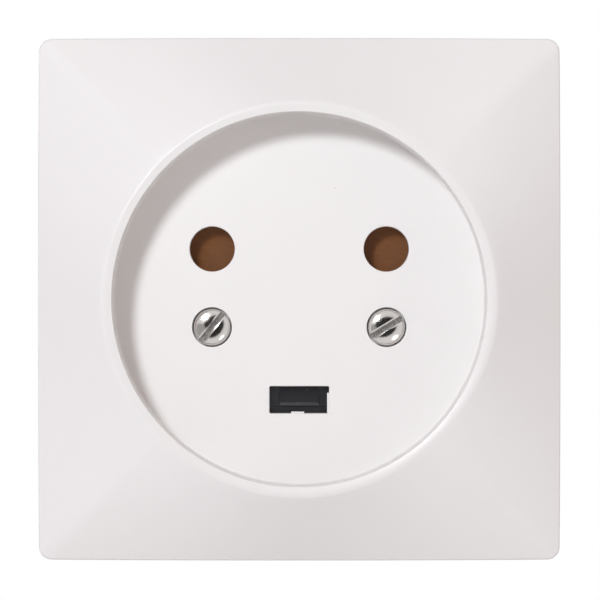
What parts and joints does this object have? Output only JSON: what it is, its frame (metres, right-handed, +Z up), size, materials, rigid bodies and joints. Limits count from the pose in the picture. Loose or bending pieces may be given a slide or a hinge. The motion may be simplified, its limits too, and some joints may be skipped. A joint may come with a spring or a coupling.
{
  "type": "wall socket",
  "caption": "Flush wall socket: square pillow frame, deep round recess, two round pin holes with a sliding shutter, a flat earth slot and two cover screws.",
  "frame": {"origin": "the socket's centre on the plane of the wall, which is the rear face of the mounting strap", "axes": "+Z up, +X to the right as seen from the room, the front faces -Y and the wall box lies towards +Y"},
  "size_m": [0.08, 0.042, 0.08],
  "materials": {
    "white_frame": "satin white moulding",
    "white_cover": "satin white moulding",
    "nickel": "nickel-plated, bright",
    "zinc_steel": "zinc-plated",
    "black_moulding": "black moulding",
    "black_slide": "smooth black moulding",
    "brown_board": "brown laminated board",
    "brass": "drawn brass",
    "spring_steel": "bright spring steel"
  },
  "bodies": {
    "socket": {"frame": "white_frame", "cover": "white_cover", "cover_screw_left": "nickel", "cover_screw_right": "nickel", "mounting_strap": "zinc_steel", "base": "black_moulding", "inner_lid": "black_moulding", "threaded_insert_left": "brass", "threaded_insert_right": "brass", "line_contact_left": "brass", "line_contact_right": "brass", "contact_ring_left": "spring_steel", "contact_ring_right": "spring_steel", "earth_contact": "brass", "terminal_screw_left": "zinc_steel", "terminal_screw_right": "zinc_steel", "terminal_screw_earth": "zinc_steel", "strap_rivet_upper_right": "zinc_steel", "strap_rivet_upper_left": "zinc_steel", "strap_rivet_lower_left": "zinc_steel", "strap_rivet_lower_right": "zinc_steel", "lid_screw_top": "zinc_steel", "lid_screw_left": "zinc_steel", "lid_screw_right": "zinc_steel", "shutter_spring": "spring_steel"},
    "shutter": {"shutter_plate": "brown_board", "shutter_carriage": "black_slide", "shutter_rivet_left": "brass", "shutter_rivet_right": "brass"}
  },
  "joints": [
    {"name": "shutter_slide", "type": "slide", "parent": "socket", "child": "shutter", "axis": [0, 0, -1], "range_m": [0, 0.0075], "stiffness_N_per_m": 60, "springref_m": -0.008, "deforming": ["shutter_spring"]}
  ]
}
